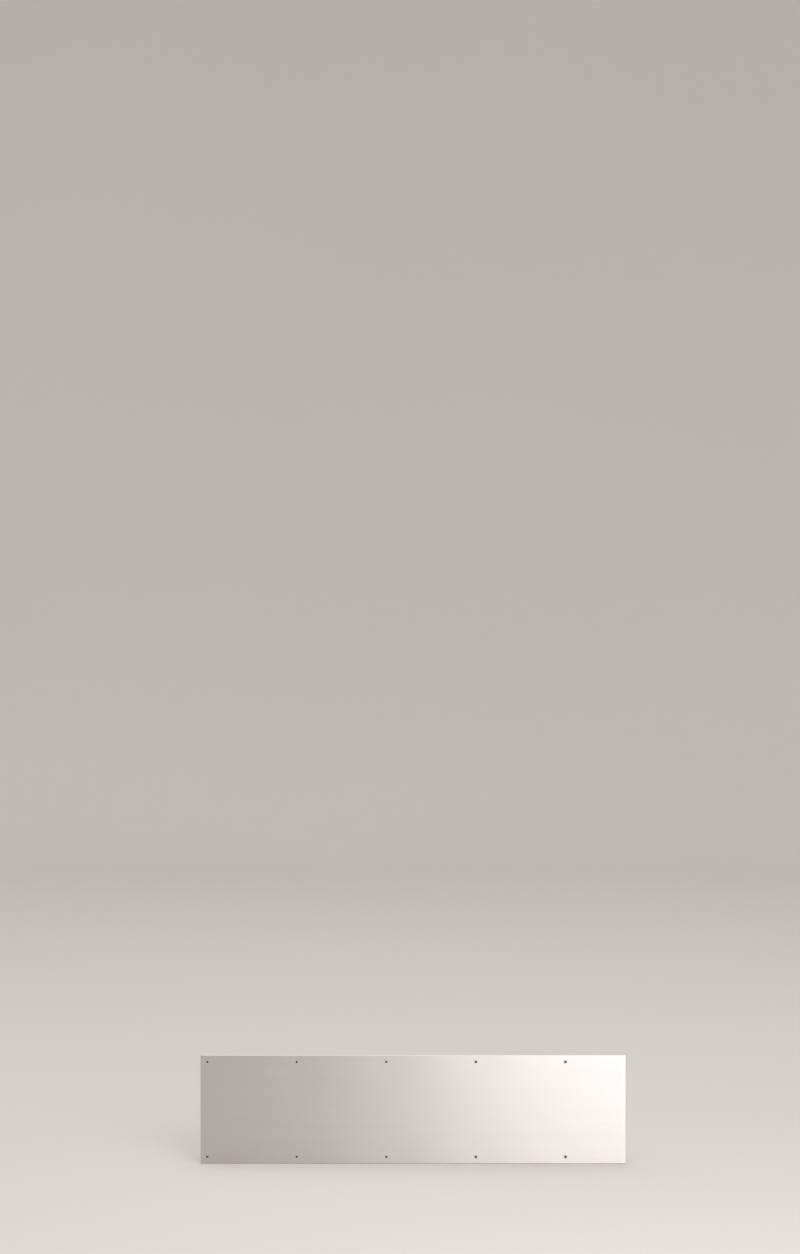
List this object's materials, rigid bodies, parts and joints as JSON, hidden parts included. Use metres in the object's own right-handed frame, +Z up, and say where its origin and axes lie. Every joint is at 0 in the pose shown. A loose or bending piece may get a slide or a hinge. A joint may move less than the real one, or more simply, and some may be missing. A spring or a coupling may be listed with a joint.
{
  "type": "kick plate",
  "caption": "Flat rectangular stainless steel door kick plate with bevelled front edges, held by countersunk cross-recess wood screws in two rows.",
  "frame": {"origin": "centre of the plate's back face, on the door's surface", "axes": "+X along the plate, to the right as seen from in front; +Y into the door, so that the front faces -Y; +Z up"},
  "size_m": [0.797, 0.0159, 0.2032],
  "materials": {
    "plate_steel": "satin, brushed lengthwise",
    "screw_steel": "plain turned stainless steel, slightly dull"
  },
  "bodies": {
    "root": {"kick_plate": "plate_steel", "screw_top_1": "screw_steel", "screw_top_2": "screw_steel", "screw_top_3": "screw_steel", "screw_top_4": "screw_steel", "screw_top_5": "screw_steel", "screw_bottom_1": "screw_steel", "screw_bottom_2": "screw_steel", "screw_bottom_3": "screw_steel", "screw_bottom_4": "screw_steel", "screw_bottom_5": "screw_steel"}
  },
  "joints": []
}
